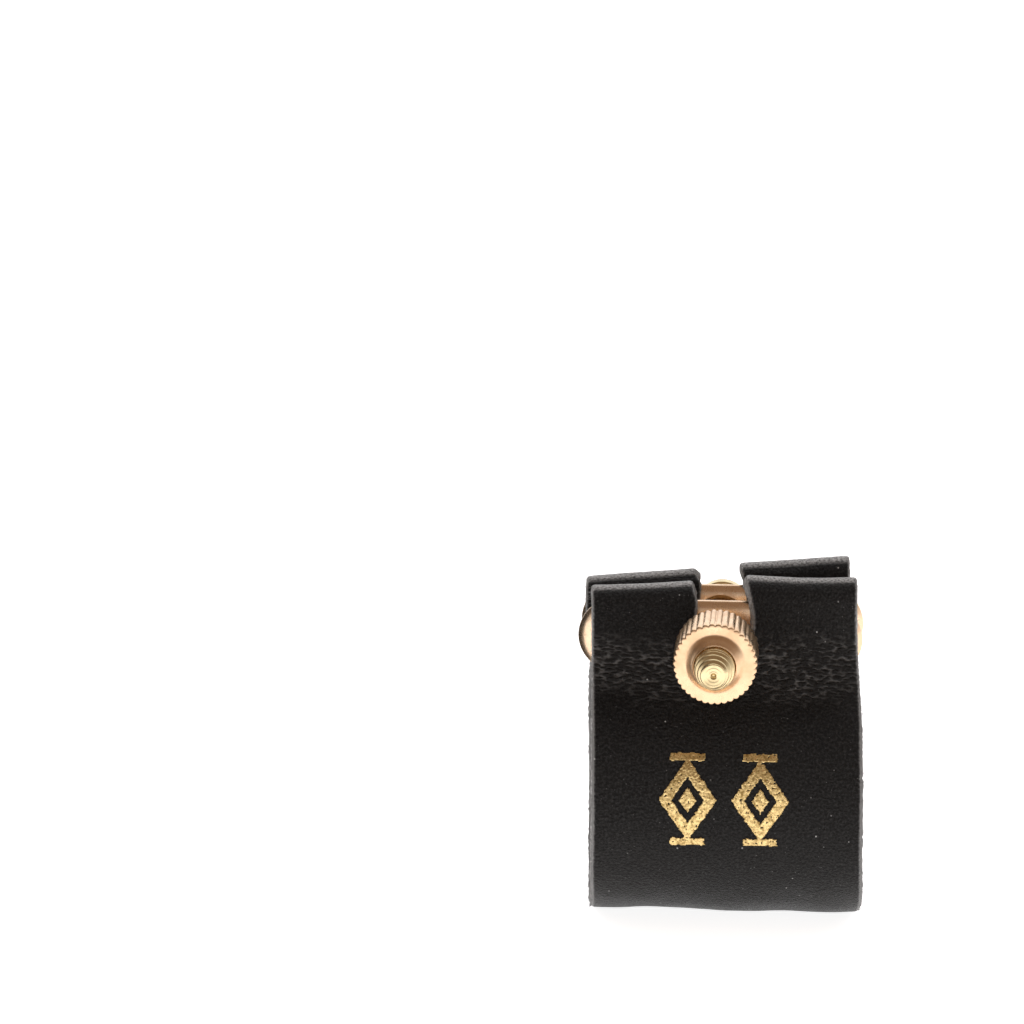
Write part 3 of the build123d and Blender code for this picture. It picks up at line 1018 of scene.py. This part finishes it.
def dark_flag():
    """A dark box on the left that only reflections see, as if a dark neighbour stood there; in metres."""
    left, right, depth, top = -0.063, -0.029, 0.018, 0.072
    z = strap_low.z * MM
    mesh = bpy.data.meshes.new("dark_flag")
    corners = [(right, -depth, z), (right, depth, z), (left, depth, z), (left, -depth, z)]
    ring = range(4)
    mesh.from_pydata(corners + [(x, y, top) for x, y, _ in corners], [],
                     [(n, (n + 1) % 4, (n + 1) % 4 + 4, n + 4) for n in ring] + [(4, 5, 6, 7)])
    material, nodes, links, shader = new_material("flag_black")
    place = nodes.new("ShaderNodeTexCoord").outputs["Object"]
    weave = texture(nodes, links, "ShaderNodeTexNoise", place, 40, Detail=2.0)
    tone = ramp(nodes, links, weave.outputs["Fac"], [(0.3, 0.01), (0.7, 0.02)])
    links.new(tone, shader.inputs["Base Color"])
    mesh.materials.append(material)
    flag = bpy.data.objects.new("dark_flag", mesh)
    bpy.context.collection.objects.link(flag)
    flag.visible_camera = flag.visible_shadow = flag.visible_diffuse = False


DARK_ROOM = (0.26, 0.18, 0.125)
WHITE_WALL = (1.25, 1.25, 1.27)


def studio_world():
    """White all round and overhead, with a darker room on the viewer's side."""
    world = bpy.data.worlds.new("studio")
    bpy.context.scene.world = world
    world.use_nodes = True
    nodes, links = world.node_tree.nodes, world.node_tree.links
    sky = nodes["Background"]
    split = nodes.new("ShaderNodeSeparateXYZ")
    links.new(nodes.new("ShaderNodeTexCoord").outputs["Generated"], split.inputs[0])
    heights = [(0.0, 1.0), (0.2, 0.85), (0.36, DARK_ROOM), (1.0, DARK_ROOM)]
    front = ramp(nodes, links, split.outputs["Z"], heights)
    half = nodes.new("ShaderNodeMapRange")
    half.inputs["From Min"].default_value = -0.05
    half.inputs["From Max"].default_value = 0.4
    links.new(split.outputs["Y"], half.inputs["Value"])
    links.new(mix_colour(nodes, links, half.outputs["Result"], front, WHITE_WALL), sky.inputs["Color"])
    sky.inputs["Strength"].default_value = 1.0


FLOOR_REACH = 4.0


def make_stage():
    """Pale floor under the ring, the world, one soft light overhead, and the dark box."""
    reach, z = FLOOR_REACH, strap_low.z * MM
    mesh = bpy.data.meshes.new("floor")
    corners = [(-reach, -reach, z), (reach, -reach, z), (reach, reach, z), (-reach, reach, z)]
    mesh.from_pydata(corners, [], [(0, 1, 2, 3)])
    mesh.materials.append(floor_white())
    floor = bpy.data.objects.new("floor", mesh)
    bpy.context.collection.objects.link(floor)
    studio_world()
    overhead = area_light("overhead", (0.0, 0.1, 0.9), (0, 0, 0), (1.4, 1.4), 2)
    overhead.visible_glossy = False
    dark_flag()


CAMERA_DISTANCE = 670.0
CAMERA_LENS = 211.0
VIEW_AZIMUTH = 4.0
VIEW_ELEVATION = 15.5
OBJECT_RIGHT = 23.55
OBJECT_DOWN = 30.0


def make_camera():
    """Long lens from in front and a little above; the object stands low and right of the frame's middle."""
    data = bpy.data.cameras.new("camera")
    data.lens = CAMERA_LENS
    data.sensor_width = 36.0
    camera = bpy.data.objects.new("camera", data)
    turn = Matrix.Rotation(math.radians(VIEW_AZIMUTH), 3, "Z") @ Matrix.Rotation(
        math.radians(90 - VIEW_ELEVATION), 3, "X")
    camera.location = turn @ Vector((-OBJECT_RIGHT, OBJECT_DOWN, CAMERA_DISTANCE)) * MM
    camera.rotation_euler = turn.to_euler()
    data.clip_start = 0.01
    data.clip_end = 20
    bpy.context.collection.objects.link(camera)
    bpy.context.scene.camera = camera


make_camera()
make_stage()
bpy.context.scene.view_settings.view_transform = "Standard"

strap = leather_strap()
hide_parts("leather_strap")
fibres = edge_fibres()
for soft in (strap, fibres):
    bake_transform(soft)

for name, node, mouth_side, body in (
    ("plate_back", "back_plate", -1, "strap"),
    ("plate_front", "front_plate", 1, "front_plate"),
):
    made = plate(name, node, mouth_side)
    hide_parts(node)
    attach(made, body)

screw = clamp_screw()
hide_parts("clamp_screw")
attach(screw, "strap")

nut = thumb_nut()
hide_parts("thumb_nut")
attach(nut, "thumb_nut")

foil = foil_marks()
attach(foil, "front_plate")
